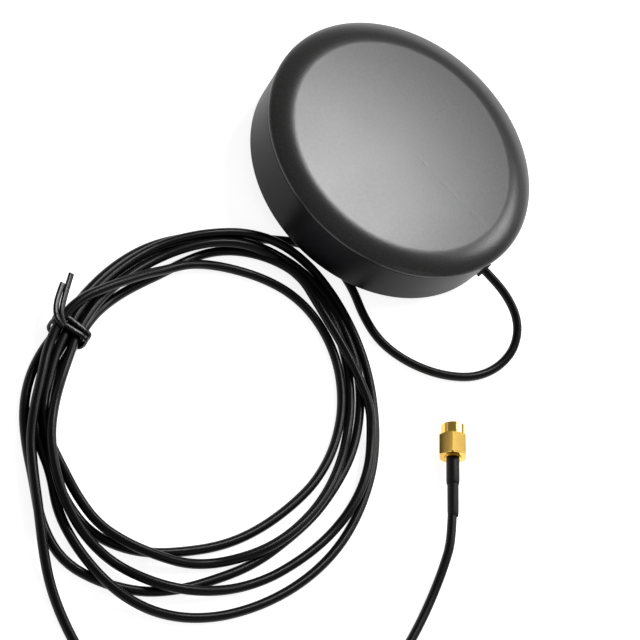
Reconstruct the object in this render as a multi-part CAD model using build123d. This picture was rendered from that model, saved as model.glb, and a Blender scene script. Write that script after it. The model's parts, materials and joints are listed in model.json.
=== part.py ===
from build123d import *
import os
from math import atan2, cos, degrees, pi, radians, sin, tan

# Puck antenna: a round black housing on a magnetic foot, with a thin coaxial lead that leaves the
# side wall, makes one loose loop, runs under the rim into a tied coil and ends in a screw-on plug.
# Millimetres. Z is up, the floor is Z = 0, the housing's axis is the Z axis and the lead leaves
# the side wall along +X.

# Housing, outside
PUCK_RADIUS = 46.0            # widest, at the parting line
DRAFT = 1.3                   # the side wall is this much smaller at its lower edge
RIM_HEIGHT = 4.5              # underside of the housing above the floor
WALL_HEIGHT = 16.9            # side wall, from its lower edge to the parting line
COVER_HEIGHT = 2.5            # cover, from the parting line to the middle of the top
CROWN = 0.4                   # rise of the top from its edge to its middle
SHOULDER_WIDTH = 6.7          # from the edge of the flat top to the side wall
LIP = 0.3                     # upright band at the cover's lower edge
LOWER_EDGE_FILLET = 1.1

# Housing, walls and fits
WALL = 2.2
TOP_THICKNESS = 2.0
FLOOR_THICKNESS = 2.0
FIT = 0.1                     # between mating moulded parts
SEAT = 0.05                   # between faces that are drawn together by a screw
WALL_STEP = 0.15              # the lower shell is this much smaller than the cover at the parting line
SPIGOT_LENGTH = 3.6
SPIGOT_THICKNESS = 1.6
SEAL_THICKNESS = 0.4
SEAL_RECESS = 0.7             # the seal's outer edge stands back from the wall and leaves a shadow line
SEAL_WIDTH = 1.3

# Housing screws, with their bosses in the cover and pillars in the lower shell
BOSS_INSET = 9.5              # from the side wall to the bosses' axes
BOSS_COUNT = 4
BOSS_RADIUS = 3.5
PILLAR_RADIUS = 4.3
PILLAR_HEIGHT = 3.0
HOUSING_SCREW_RADIUS = 1.45
HOUSING_SCREW_LENGTH = 9.0
HOUSING_HEAD_RADIUS = 2.7
HOUSING_HEAD_HEIGHT = 1.8
SCREW_PLAY = 0.05             # radial, round a screw in its pilot hole
CLEAR_PLAY = 0.3              # radial, round a screw or head in its clearance hole
DRIVE_DEPTH = 0.8             # cross recess
DRIVE_SLOT = 0.5              # width of its arms
DRIVE_REACH = 0.6             # length of an arm as a share of the head's radius
HEAD_ROUNDING = 0.45          # share of the head's height

# Stiffening ribs
RIB = 1.2
COVER_RIB_COUNT = 8
COVER_RIB_DEPTH = 2.2
COVER_RING_RADIUS = 9.0
COVER_RIB_INSET = 13.0        # the ribs end this far from the side wall
GUSSET_COUNT = 8
GUSSET_REACH = 5.0
GUSSET_HEIGHT = 6.5

# Magnetic foot
WELL_RADIUS = 30.0
WELL_WALL = 1.6
MAGNET_PLAY = 0.2
PLATE_THICKNESS = 0.9
PAD_THICKNESS = 1.0
PAD_INSET = 0.3
MAGNET_BORE = 4.0
MAGNET_CHAMFER = 0.3

# Antenna board and its radiator
BOARD_INSET = 7.5             # from the side wall to the board's edge
BOARD_THICKNESS = 1.6
BOARD_SCREW_INSET = 14.5      # from the board's edge to the screws' axes
BOARD_SCREW_COUNT = 3
STANDOFF_RADIUS = 3.0
STANDOFF_HEIGHT = 4.7
BOARD_SCREW_RADIUS = 0.95
BOARD_SCREW_LENGTH = 5.0
BOARD_HEAD_RADIUS = 1.9
BOARD_HEAD_HEIGHT = 1.3
BOSS_NOTCH_PLAY = 0.6
FOIL_CLEARANCE = 2.0          # between the foil and the cover's bosses
FOIL_THICKNESS = 0.1
FOIL_SLOT = 1.2
FOIL_SLOT_INSETS = (3.0, 15.0)    # of the two slots from the foil's edge
FOIL_SLOT_START = 35.0
FOIL_SLOT_SWEEP = 290.0
FOIL_SCREW_CLEARANCE = 3.2
FEED_HOLE_RADIUS = 0.4

# Lead: jacket, braid, dielectric and centre conductor
CORD_RADIUS = 1.4
BRAID_RADIUS = 1.0
DIELECTRIC_RADIUS = 0.75
CONDUCTOR_RADIUS = 0.25
LEAD_RISE = 3.0               # height of the lead above the housing's floor
JACKET_PAST_CLAMP = 3.5
BRAID_BARED = 4.0
DIELECTRIC_BARED = 2.5
CONDUCTOR_REACH = 2.0         # from the dielectric's end to the hole in the board
CONDUCTOR_BEND = 0.8
CONDUCTOR_TOP = 1.2           # above the board
CORD_FIT = 0.03
FEED_CONE_RADIUS = 1.2
FEED_CONE_WALL = 0.12         # at the cone's upper end
WIRE_SHOWING = 0.2            # conductor above the cone
BRAID_JOINT = (2.8, 3.0)      # length along the lead and width

# Grommet and clamp
GROMMET_RADIUS = 2.3
GROMMET_FLANGE_RADIUS = 2.9
GROMMET_FLANGE = 1.1
CLAMP_INSET = 15.0            # from the widest part of the wall to the clamp's inner end
CLAMP_LENGTH = 5.0
CLAMP_MARGIN = 0.5            # beside the screws' heads
CLAMP_HEIGHT = 2.4
CLAMP_ROUNDING = 1.0
CLAMP_SCREW_Y = 4.6
CLAMP_SCREW_RADIUS = 0.78
CLAMP_SCREW_LENGTH = 2.7      # below the clamp
CLAMP_HEAD_RADIUS = 1.7
CLAMP_HEAD_HEIGHT = 1.2
NOTCH_PLAY = 1.5

# Coil of the lead: the space between two ellipses, one layer high under the rim, two elsewhere
COIL_OUTER_CENTRE = (19.3, -107.2)
COIL_OUTER_AXES = (50.4, 65.6)
COIL_OUTER_TURN = 17.2
COIL_INNER_CENTRE = (16.9, -107.5)
COIL_INNER_AXES = (38.1, 51.3)
COIL_INNER_TURN = 2.2
COIL_UPPER_INSET = 2.6
COIL_BEVEL = 0.8
RIM_CLEARANCE = 3.5

# Wire tie round the coil
TIE_CENTRE = (-24.5, -124.0)
TIE_HEADING = -75.8
TIE_WIRE = 1.2
TIE_WRAPS = 2
TIE_INNER_WIDTH = 10.4
TIE_INNER_HEIGHT = 5.4
TIE_CORNER = 1.5
TIE_END_REACHES = [           # of the two ends: across the coil, upward and along it
    (4.7, 0.8, 12.5),
    (5.2, 0.8, 9.0),
]

# What follows from the sizes above
PARTING_HEIGHT = RIM_HEIGHT + WALL_HEIGHT
TOP_HEIGHT = PARTING_HEIGHT + COVER_HEIGHT
EDGE_HEIGHT = TOP_HEIGHT - CROWN
UNDERSIDE = EDGE_HEIGHT - TOP_THICKNESS
FOOT_RADIUS = PUCK_RADIUS - DRAFT
FLAT_RADIUS = PUCK_RADIUS - SHOULDER_WIDTH
FLOOR_TOP = RIM_HEIGHT + FLOOR_THICKNESS
SHELL_TOP = PARTING_HEIGHT - SEAL_THICKNESS
SHELL_TOP_RADIUS = PUCK_RADIUS - WALL_STEP
PILLAR_TOP = FLOOR_TOP + PILLAR_HEIGHT
BOSS_CIRCLE = PUCK_RADIUS - BOSS_INSET
COVER_RIB_REACH = PUCK_RADIUS - COVER_RIB_INSET
BOARD_RADIUS = PUCK_RADIUS - BOARD_INSET
BOARD_SCREW_CIRCLE = BOARD_RADIUS - BOARD_SCREW_INSET
FOIL_RADIUS = BOSS_CIRCLE - BOSS_RADIUS - FOIL_CLEARANCE
BOARD_UNDERSIDE = FLOOR_TOP + STANDOFF_HEIGHT
BOARD_TOP = BOARD_UNDERSIDE + BOARD_THICKNESS
FOIL_TOP = BOARD_TOP + FOIL_THICKNESS
LEAD_HEIGHT = FLOOR_TOP + LEAD_RISE
CLAMP_X = PUCK_RADIUS - CLAMP_INSET
CLAMP_WIDTH = 2 * (CLAMP_SCREW_Y + CLAMP_HEAD_RADIUS + CLAMP_MARGIN)
JACKET_END_X = CLAMP_X - JACKET_PAST_CLAMP
BRAID_END_X = JACKET_END_X - BRAID_BARED
DIELECTRIC_END_X = BRAID_END_X - DIELECTRIC_BARED
FEED_X = DIELECTRIC_END_X - CONDUCTOR_REACH
CORD_DIAMETER = 2 * CORD_RADIUS

# Route of the free lead from the wall to the coil, and from the coil to the plug
LOOP_ROUTE = [
    (46.0, 0.0, LEAD_HEIGHT),
    (51.4, 0.0, LEAD_HEIGHT),
    (57.5, 0.2, 7.8),
    (63.5, -1.4, 5.3),
    (68.0, -5.4, 3.2),
    (70.7, -11.7, 1.8),
    (70.4, -19.5, CORD_RADIUS),
    (67.5, -26.8, CORD_RADIUS),
    (62.5, -33.2, CORD_RADIUS),
    (55.8, -38.7, CORD_RADIUS),
    (47.5, -42.8, CORD_RADIUS),
    (38.5, -44.4, CORD_RADIUS),
    (29.6, -42.0, CORD_RADIUS),
    (21.6, -37.6, CORD_RADIUS),
    (13.0, -35.6, CORD_RADIUS),
    (5.0, -36.9, CORD_RADIUS),
    (-1.4, -41.2, CORD_RADIUS),
    (-6.4, -47.0, CORD_RADIUS),
    (-11.2, -52.9, CORD_RADIUS),
    (-15.0, -58.6, CORD_RADIUS),
]
TAIL_ROUTE = [
    (-24.4, -134.5, CORD_RADIUS),
    (-19.5, -142.1, CORD_RADIUS),
    (-14.5, -150.1, CORD_RADIUS),
    (-8.6, -157.6, CORD_RADIUS),
    (-1.0, -164.2, CORD_RADIUS),
    (8.2, -171.4, CORD_RADIUS),
    (18.1, -179.0, CORD_RADIUS),
    (27.2, -184.2, CORD_RADIUS),
    (39.0, -188.9, CORD_RADIUS),
    (55.0, -192.6, CORD_RADIUS),
    (71.6, -192.4, CORD_RADIUS),
    (87.0, -185.6, CORD_RADIUS),
    (98.6, -173.4, CORD_RADIUS),
    (105.6, -158.0, CORD_RADIUS),
    (108.4, -141.4, CORD_RADIUS),
    (108.2, -125.0, CORD_RADIUS),
    (106.0, -110.0, CORD_RADIUS),
    (103.1, -98.0, 1.7),
    (99.3, -87.0, 2.9),
]

# Plug: distances are measured back from its mouth along its axis
PLUG_MOUTH = (72.8, -48.8)
PLUG_HEADING = 127.9          # direction that the mouth faces, from +X
PLUG_LEAD_IN = 36.0           # the lead runs straight into the plug from here
NUT_FLATS = 8.0
NUT_RING_RADIUS = 3.75
NUT_RING_LENGTH = 3.6
NUT_LENGTH = 10.6
NUT_CHAMFER = 0.55            # round the ring's mouth and into the thread
CROWN_CHAMFER = (0.33, 0.66)  # on the hexagon's corners, radial and lengthwise
THREAD_RADIUS = 2.86          # crests of the 1/4-36 thread
THREAD_LENGTH = 6.5
RUNNING_FIT = 0.07            # radial, so that the nut turns
SHANK_RADIUS = 2.55
GROOVE_START = 7.5
GROOVE_END = 8.3
NUT_GROOVE_RADIUS = 2.95
REFERENCE_FACE = 3.4          # front face of the outer contact
CONTACT_OUTER = 2.29
CONTACT_INNER = 2.05
FLANGE_RADIUS = 2.7
FLANGE_FRONT = 5.6
FLANGE_BACK = 6.4
SEAL_RING_LENGTH = 0.6
RING_THICKNESS = 0.5
RING_SEAT_RADIUS = 2.15
RING_OUTER_RADIUS = 2.8
RING_GAP = 1.0
RING_GAP_TURN = 40.0
BODY_BACK = 11.0
STEM_RADIUS = 1.12
STEM_END = 15.0
PIN_RADIUS = 0.45
PIN_TIP = 0.7
PIN_TAPER = (0.5, 0.2)        # length and depth of the taper at its tip
INSULATOR_END = 9.6
INSULATOR_STEP = 0.9
FERRULE_INNER = 1.43
FERRULE_OUTER = 1.72
FERRULE_END = 16.8
SLEEVE_WALL = 0.28
SLEEVE_OUTER_END = 19.6
SLEEVE_INNER_END = 29.9

NUT_HEIGHT = NUT_FLATS / 2


def wall_radius(height):
    """Outside radius of the lower shell's drafted wall at a height."""
    share = (height - RIM_HEIGHT) / (SHELL_TOP - RIM_HEIGHT)
    return FOOT_RADIUS + share * (SHELL_TOP_RADIUS - FOOT_RADIUS)


SPIGOT_OUTER = wall_radius(PARTING_HEIGHT - SPIGOT_LENGTH) - WALL - FIT
SPIGOT_INNER = SPIGOT_OUTER - SPIGOT_THICKNESS


def turned(outline):
    """Solid of revolution about Z from an outline drawn as (radius, height)."""
    return revolve(Plane.XZ * outline, Axis.Z)


def rod(radius, start, end):
    """Round rod along X at the lead's height."""
    return Plane((start, 0, LEAD_HEIGHT), x_dir=(0, 1, 0), z_dir=(1, 0, 0)) * Cylinder(
        radius, end - start, align=(Align.CENTER, Align.CENTER, Align.MIN))


def post(radius, bottom, top, x=0, y=0):
    """Upright round post."""
    return Pos(x, y, bottom) * Cylinder(radius, top - bottom, align=(Align.CENTER, Align.CENTER, Align.MIN))


def tube(inner, outer, bottom, top, x=0, y=0):
    """Upright round tube."""
    return post(outer, bottom, top, x, y) - post(inner, bottom, top, x, y)


def block(x_range, y_range, z_range):
    """Box between pairs of coordinates."""
    size = [high - low for low, high in (x_range, y_range, z_range)]
    return Pos(x_range[0], y_range[0], z_range[0]) * Box(*size, align=(Align.MIN, Align.MIN, Align.MIN))


def round_places(count, radius, first):
    """Evenly spaced (x, y) places on a circle, the first at an angle in degrees."""
    angles = [radians(first + 360 * index / count) for index in range(count)]
    return [(radius * cos(angle), radius * sin(angle)) for angle in angles]


BOSS_PLACES = round_places(BOSS_COUNT, BOSS_CIRCLE, 45)
STANDOFF_PLACES = round_places(BOARD_SCREW_COUNT, BOARD_SCREW_CIRCLE, 90)
CLAMP_SCREW_PLACES = [(CLAMP_X + CLAMP_LENGTH / 2, side * CLAMP_SCREW_Y) for side in (-1, 1)]


def screw(head_radius, head_height, shank_radius, length, pointing_up):
    """Pan-head screw whose head sits on Z = 0, with a rounded edge and a cross recess."""
    head = fillet(post(head_radius, 0, head_height).edges().group_by(Axis.Z)[-1], head_height * HEAD_ROUNDING)
    arm = (-head_radius * DRIVE_REACH, head_radius * DRIVE_REACH)
    slot = (-DRIVE_SLOT / 2, DRIVE_SLOT / 2)
    recess_height = (head_height - DRIVE_DEPTH, head_height)
    head -= block(arm, slot, recess_height) + block(slot, arm, recess_height)
    shank = post(shank_radius, -length, 0)
    shank = chamfer(shank.edges().group_by(Axis.Z)[0], shank_radius * 0.5)
    whole = head + shank
    return Rot(180, 0, 0) * whole if pointing_up else whole


def radome_cover():
    """Cap with a crowned top, rounded shoulder, spigot, screw bosses and a web of ribs."""
    shoulder_height = EDGE_HEIGHT - PARTING_HEIGHT - LIP
    shoulder_width = PUCK_RADIUS - FLAT_RADIUS
    spigot_end = PARTING_HEIGHT - SPIGOT_LENGTH
    with BuildSketch() as profile:
        with BuildLine():
            top = ThreePointArc((0, TOP_HEIGHT), (FLAT_RADIUS / 2, TOP_HEIGHT - CROWN / 4),
                                (FLAT_RADIUS, EDGE_HEIGHT))
            EllipticalCenterArc((FLAT_RADIUS, PARTING_HEIGHT + LIP), shoulder_width, shoulder_height,
                                start_angle=0, arc_size=90)
            Polyline((PUCK_RADIUS, PARTING_HEIGHT + LIP), (PUCK_RADIUS, PARTING_HEIGHT),
                     (SPIGOT_OUTER, PARTING_HEIGHT), (SPIGOT_OUTER, spigot_end), (SPIGOT_INNER, spigot_end),
                     (SPIGOT_INNER, UNDERSIDE - WALL), (SPIGOT_INNER - WALL, UNDERSIDE), (0, UNDERSIDE),
                     top @ 0)
        make_face()
    cover = turned(profile.sketch)
    rib_height = (UNDERSIDE - COVER_RIB_DEPTH, UNDERSIDE + TOP_THICKNESS / 2)
    rib = block((COVER_RING_RADIUS - RIB / 2, COVER_RIB_REACH), (-RIB / 2, RIB / 2), rib_height)
    cover += tube(COVER_RING_RADIUS - RIB, COVER_RING_RADIUS, *rib_height)
    for index in range(COVER_RIB_COUNT):
        cover += Rot(0, 0, 360 * (index + 0.5) / COVER_RIB_COUNT) * rib
    for x, y in BOSS_PLACES:
        angle = degrees(atan2(y, x))
        web = block((BOSS_CIRCLE, SPIGOT_INNER + SPIGOT_THICKNESS / 2), (-RIB / 2, RIB / 2),
                    (spigot_end + RIB, UNDERSIDE))
        cover += post(BOSS_RADIUS, PILLAR_TOP + SEAT, UNDERSIDE + TOP_THICKNESS / 2, x, y)
        cover += Rot(0, 0, angle) * web
    for x, y in BOSS_PLACES:
        cover -= post(HOUSING_SCREW_RADIUS + SCREW_PLAY, PILLAR_TOP, UNDERSIDE - COVER_RIB_DEPTH, x, y)
    return cover


def base_housing():
    """Lower shell: drafted wall, floor, magnet well, pillars, standoffs, saddle and lead hole."""
    inner_foot = FOOT_RADIUS - WALL
    inner_top = SHELL_TOP_RADIUS - WALL
    outline = Polyline((0, RIM_HEIGHT), (FOOT_RADIUS, RIM_HEIGHT), (SHELL_TOP_RADIUS, SHELL_TOP),
                       (inner_top, SHELL_TOP), (inner_foot, FLOOR_TOP), (0, FLOOR_TOP), close=True)
    profile = make_face(outline)
    lower_corner = profile.vertices().sort_by_distance((FOOT_RADIUS, RIM_HEIGHT))[0]
    upper_corner = profile.vertices().sort_by_distance((SHELL_TOP_RADIUS, SHELL_TOP))[0]
    profile = fillet(lower_corner, LOWER_EDGE_FILLET)
    profile = chamfer(profile.vertices().sort_by_distance(upper_corner)[0], WALL_STEP)
    shell = turned(profile)
    shell += tube(WELL_RADIUS - WELL_WALL, WELL_RADIUS, PAD_THICKNESS, RIM_HEIGHT + FLOOR_THICKNESS / 2)
    for index in range(GUSSET_COUNT):
        shell += Rot(0, 0, 360 * (index + 0.5) / GUSSET_COUNT) * gusset()
    for x, y in BOSS_PLACES:
        shell += post(PILLAR_RADIUS, FLOOR_TOP - FLOOR_THICKNESS / 2, PILLAR_TOP, x, y)
    for x, y in STANDOFF_PLACES:
        shell += post(STANDOFF_RADIUS, FLOOR_TOP - FLOOR_THICKNESS / 2, BOARD_UNDERSIDE, x, y)
    shell += saddle_block()
    for x, y in BOSS_PLACES:
        head_room = HOUSING_HEAD_HEIGHT + CLEAR_PLAY
        shell -= post(HOUSING_HEAD_RADIUS + CLEAR_PLAY, RIM_HEIGHT, RIM_HEIGHT + head_room, x, y)
        shell -= post(HOUSING_SCREW_RADIUS + CLEAR_PLAY, RIM_HEIGHT, PILLAR_TOP, x, y)
    for x, y in STANDOFF_PLACES:
        pilot_depth = BOARD_SCREW_LENGTH - BOARD_THICKNESS + CLEAR_PLAY
        shell -= post(BOARD_SCREW_RADIUS + SCREW_PLAY, BOARD_UNDERSIDE - pilot_depth, BOARD_UNDERSIDE, x, y)
    for x, y in CLAMP_SCREW_PLACES:
        shell -= post(CLAMP_SCREW_RADIUS + SCREW_PLAY, LEAD_HEIGHT - CLAMP_SCREW_LENGTH - CLEAR_PLAY,
                      LEAD_HEIGHT, x, y)
    return shell - rod(GROMMET_RADIUS, SPIGOT_INNER - WALL, PUCK_RADIUS)


def gusset():
    """Three-cornered rib between the floor and the wall."""
    foot = wall_radius(FLOOR_TOP) - WALL
    head = FLOOR_TOP + GUSSET_HEIGHT
    sketch = Polyline((foot - GUSSET_REACH, FLOOR_TOP - RIB / 2), (foot + WALL / 2, FLOOR_TOP - RIB / 2),
                      (wall_radius(head) - WALL / 2, head), (wall_radius(head) - WALL - RIB / 2, head),
                      (foot - GUSSET_REACH, FLOOR_TOP + RIB / 2), close=True)
    return extrude(Plane.XZ * make_face(sketch), RIB / 2, both=True)


def saddle_block():
    """Lower half of the lead's saddle, with a round channel."""
    half = CLAMP_WIDTH / 2
    saddle = block((CLAMP_X, CLAMP_X + CLAMP_LENGTH), (-half, half), (FLOOR_TOP - RIB, LEAD_HEIGHT))
    return saddle - rod(CORD_RADIUS + CORD_FIT, CLAMP_X - 1, CLAMP_X + CLAMP_LENGTH + 1)


def cable_clamp():
    """Upper half of the saddle, drawn down on the lead by two screws."""
    half = CLAMP_WIDTH / 2
    bottom = LEAD_HEIGHT + SEAT
    top = LEAD_HEIGHT + CLAMP_HEIGHT
    clamp = block((CLAMP_X, CLAMP_X + CLAMP_LENGTH), (-half, half), (bottom, top))
    clamp = fillet(clamp.edges().group_by(Axis.Z)[-1].filter_by(Axis.X), CLAMP_ROUNDING)
    clamp -= rod(CORD_RADIUS + CORD_FIT, CLAMP_X - 1, CLAMP_X + CLAMP_LENGTH + 1)
    for x, y in CLAMP_SCREW_PLACES:
        clamp -= post(CLAMP_SCREW_RADIUS + CLEAR_PLAY, bottom, top, x, y)
    return clamp


def cover_seal():
    """Flat seal ring in the parting line, set back so that it leaves a shadow line."""
    outer = SHELL_TOP_RADIUS - SEAL_RECESS
    inner = max(outer - SEAL_WIDTH, SPIGOT_OUTER + FIT)
    return tube(inner, outer, SHELL_TOP, PARTING_HEIGHT)


def housing_screws():
    """Four screws from below, through the pillars into the cover's bosses."""
    single = screw(HOUSING_HEAD_RADIUS, HOUSING_HEAD_HEIGHT, HOUSING_SCREW_RADIUS,
                   HOUSING_SCREW_LENGTH, True)
    seat = RIM_HEIGHT + HOUSING_HEAD_HEIGHT + CLEAR_PLAY
    return [Pos(x, y, seat) * single for x, y in BOSS_PLACES]


def board_screws():
    """Three screws from above, through the board into the standoffs."""
    single = screw(BOARD_HEAD_RADIUS, BOARD_HEAD_HEIGHT, BOARD_SCREW_RADIUS, BOARD_SCREW_LENGTH, False)
    return [Pos(x, y, BOARD_TOP) * single for x, y in STANDOFF_PLACES]


def clamp_screws():
    """Two small screws that hold the saddle's upper half."""
    single = screw(CLAMP_HEAD_RADIUS, CLAMP_HEAD_HEIGHT, CLAMP_SCREW_RADIUS,
                   CLAMP_SCREW_LENGTH + CLAMP_HEIGHT, False)
    return [Pos(x, y, LEAD_HEIGHT + CLAMP_HEIGHT) * single for x, y in CLAMP_SCREW_PLACES]


def antenna_board():
    """Round board with notches for the cover's bosses and the lead's saddle."""
    board = post(BOARD_RADIUS, BOARD_UNDERSIDE, BOARD_TOP)
    for x, y in BOSS_PLACES:
        board -= post(BOSS_RADIUS + BOSS_NOTCH_PLAY, BOARD_UNDERSIDE, BOARD_TOP, x, y)
    for x, y in STANDOFF_PLACES:
        board -= post(BOARD_SCREW_RADIUS + CLEAR_PLAY, BOARD_UNDERSIDE, BOARD_TOP, x, y)
    half = CLAMP_WIDTH / 2 + NOTCH_PLAY
    board -= block((CLAMP_X - NOTCH_PLAY, BOARD_RADIUS + 1), (-half, half), (BOARD_UNDERSIDE, BOARD_TOP))
    return board - post(FEED_HOLE_RADIUS, BOARD_UNDERSIDE, BOARD_TOP, FEED_X, 0)


def radiator_foil():
    """Copper disc with two curved slots that set its working bands."""
    foil = Circle(FOIL_RADIUS)
    for turn, inset in enumerate(FOIL_SLOT_INSETS):
        arc = CenterArc((0, 0), FOIL_RADIUS - inset, FOIL_SLOT_START + 180 * turn, FOIL_SLOT_SWEEP)
        foil -= SlotArc(arc, FOIL_SLOT)
    for x, y in STANDOFF_PLACES:
        foil -= Pos(x, y) * Circle(FOIL_SCREW_CLEARANCE)
    foil -= Pos(FEED_X, 0) * Circle(FEED_HOLE_RADIUS)
    notch = Rectangle(FOIL_RADIUS, CLAMP_WIDTH + 2 * NOTCH_PLAY)
    foil -= Pos(CLAMP_X - NOTCH_PLAY + FOIL_RADIUS / 2, 0) * notch
    return extrude(Pos(0, 0, BOARD_TOP) * foil, FOIL_THICKNESS)


def lead_conductor():
    """Centre conductor, bent up through the board."""
    path = FilletPolyline((DIELECTRIC_END_X, 0, LEAD_HEIGHT), (FEED_X, 0, LEAD_HEIGHT),
                          (FEED_X, 0, FOIL_TOP + CONDUCTOR_TOP), radius=CONDUCTOR_BEND)
    return along(path, CONDUCTOR_RADIUS)


def solder_joints():
    """Cone round the conductor on top of the board, and the fillet from the braid to its underside."""
    cone = Pos(FEED_X, 0, FOIL_TOP) * Cone(FEED_CONE_RADIUS, CONDUCTOR_RADIUS + FEED_CONE_WALL,
                                           CONDUCTOR_TOP - WIRE_SHOWING,
                                           align=(Align.CENTER, Align.CENTER, Align.MIN))
    cone -= post(CONDUCTOR_RADIUS, FOIL_TOP, FOIL_TOP + CONDUCTOR_TOP, FEED_X, 0)
    middle = (JACKET_END_X + BRAID_END_X) / 2
    half_length, half_width = BRAID_JOINT[0] / 2, BRAID_JOINT[1] / 2
    braid_joint = block((middle - half_length, middle + half_length), (-half_width, half_width),
                        (LEAD_HEIGHT, BOARD_UNDERSIDE))
    return [cone, braid_joint - rod(BRAID_RADIUS, BRAID_END_X, JACKET_END_X)]


def cable_grommet(shell):
    """Rubber bush that fills the hole in the wall, with a flange inside and a flush lip outside."""
    inside = wall_radius(LEAD_HEIGHT) - WALL - GROMMET_FLANGE
    bush = rod(GROMMET_RADIUS, inside, PUCK_RADIUS)
    bush += rod(GROMMET_FLANGE_RADIUS, inside, inside + 2 * GROMMET_FLANGE)
    bush += rod(GROMMET_FLANGE_RADIUS - FIT, wall_radius(LEAD_HEIGHT) - FIT, PUCK_RADIUS)
    return bush - rod(CORD_RADIUS + CORD_FIT, inside - 1, PUCK_RADIUS + 1) - shell


def magnet_plate():
    """Steel disc behind the magnet."""
    return post(WELL_RADIUS - WELL_WALL - MAGNET_PLAY, RIM_HEIGHT - PLATE_THICKNESS, RIM_HEIGHT)


def mounting_magnet():
    """Flat ring magnet that holds the puck on a steel roof."""
    radius = WELL_RADIUS - WELL_WALL - MAGNET_PLAY
    ring = tube(MAGNET_BORE, radius, PAD_THICKNESS, RIM_HEIGHT - PLATE_THICKNESS)
    return chamfer(ring.edges().group_by(Axis.Z)[0].sort_by(SortBy.LENGTH)[-1], MAGNET_CHAMFER)


def foot_pad():
    """Thin rubber disc on which the antenna stands."""
    pad = post(WELL_RADIUS - PAD_INSET, 0, PAD_THICKNESS)
    return fillet(pad.edges().group_by(Axis.Z)[0], PAD_INSET)


def ellipse_at(centre, axes, turn, inset=0.0):
    """Turned ellipse as a face."""
    return Pos(*centre) * Rot(0, 0, turn) * Ellipse(axes[0] - inset, axes[1] - inset)


def coil_layer(bottom, inset):
    """One layer of the coil's turns, bevelled along its edges."""
    outer = ellipse_at(COIL_OUTER_CENTRE, COIL_OUTER_AXES, COIL_OUTER_TURN, inset)
    inner = ellipse_at(COIL_INNER_CENTRE, COIL_INNER_AXES, COIL_INNER_TURN, -inset)
    layer = extrude(Pos(0, 0, bottom) * (outer - inner), CORD_DIAMETER)
    return chamfer(layer.edges(), COIL_BEVEL)


def tie_plane():
    """Plane across the coil at the tie: X across the strands, Y up, Z along them."""
    heading = radians(TIE_HEADING)
    along_strands = Vector(cos(heading), sin(heading), 0)
    across = Vector(-sin(heading), cos(heading), 0)
    return Plane((TIE_CENTRE[0], TIE_CENTRE[1], 0), x_dir=across, z_dir=along_strands)


def lead_coil():
    """Outer shape of the coil's turns, drawn in where the tie goes round it."""
    coil = coil_layer(0, 0) + (coil_layer(CORD_DIAMETER - COIL_BEVEL, COIL_UPPER_INSET)
                               - post(PUCK_RADIUS + RIM_CLEARANCE, 0, TOP_HEIGHT))
    slab_length = TIE_WIRE * TIE_WRAPS + 2 * FIT
    middle = TIE_WIRE + TIE_INNER_HEIGHT / 2
    slab = Box(2 * COIL_OUTER_AXES[0] - 2 * COIL_INNER_AXES[0], 2 * TOP_HEIGHT, slab_length)
    waist = Box(TIE_INNER_WIDTH - 2 * FIT, TIE_INNER_HEIGHT - 2 * FIT, slab_length)
    return coil - tie_plane() * Pos(0, middle, 0) * slab + tie_plane() * Pos(0, middle, 0) * waist


def coil_tie():
    """Wire tie: two wraps round the strands and two twisted ends that stand off to one side."""
    middle = TIE_WIRE + TIE_INNER_HEIGHT / 2
    outer = RectangleRounded(TIE_INNER_WIDTH + 2 * TIE_WIRE, TIE_INNER_HEIGHT + 2 * TIE_WIRE, TIE_CORNER)
    inner = Rectangle(TIE_INNER_WIDTH, TIE_INNER_HEIGHT)
    wraps = extrude(Pos(0, middle) * (outer - inner), TIE_WIRE * TIE_WRAPS / 2, both=True)
    tie = wraps
    for side, (across, upward, lengthwise) in zip((-1, 1), TIE_END_REACHES):
        start = (TIE_WIRE - TIE_INNER_WIDTH / 2, TIE_INNER_HEIGHT + 1.5 * TIE_WIRE, side * TIE_WIRE / 2)
        end = (start[0] - across, start[1] + upward, start[2] - lengthwise)
        tie += along(Line(start, end), TIE_WIRE / 2)
    return tie_plane() * tie


def along(path, radius):
    """Round rod along a path."""
    section = Plane(origin=path @ 0, z_dir=path % 0) * Circle(radius)
    return sweep(section, path=path)


def corner_radii(points):
    """Radius of the arc at each inner point of a route: 0.45 of the shorter run over tan(half turn)."""
    radii = []
    for before, here, after in zip(points, points[1:], points[2:]):
        first = Vector(*here) - Vector(*before)
        second = Vector(*after) - Vector(*here)
        half_turn = radians(first.get_angle(second)) / 2
        radii.append(0.45 * min(first.length, second.length) / tan(half_turn))
    return radii


def free_lead(name, points):
    """Tube along a route of straight runs joined by tangent arcs."""
    radii = corner_radii(points)
    path = FilletPolyline(*points, radius=radii)
    cord = along(path, CORD_RADIUS)
    print(name, "radii", [round(radius, 1) for radius in radii], "length", round(path.length, 1),
          "volume share", round(cord.volume / (pi * CORD_RADIUS ** 2 * path.length), 4))
    return cord


def plug_plane():
    """Plane at the plug's mouth: Z out of the mouth, X up."""
    heading = radians(PLUG_HEADING)
    return Plane((PLUG_MOUTH[0], PLUG_MOUTH[1], NUT_HEIGHT), x_dir=(0, 0, 1),
                 z_dir=(cos(heading), sin(heading), 0))


def plug_point(distance):
    """Point on the plug's axis, at a distance back from its mouth."""
    point = plug_plane().from_local_coords(Vector(0, 0, -distance))
    return (point.X, point.Y, point.Z)


def stepped(*steps):
    """Turned part of the plug from (start, end, inner radius, outer radius) steps, mouth at Z = 0."""
    part = None
    for start, end, inner, outer in steps:
        ring = post(outer, -end, -start) if inner == 0 else tube(inner, outer, -end, -start)
        part = ring if part is None else part + ring
    return part


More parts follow.
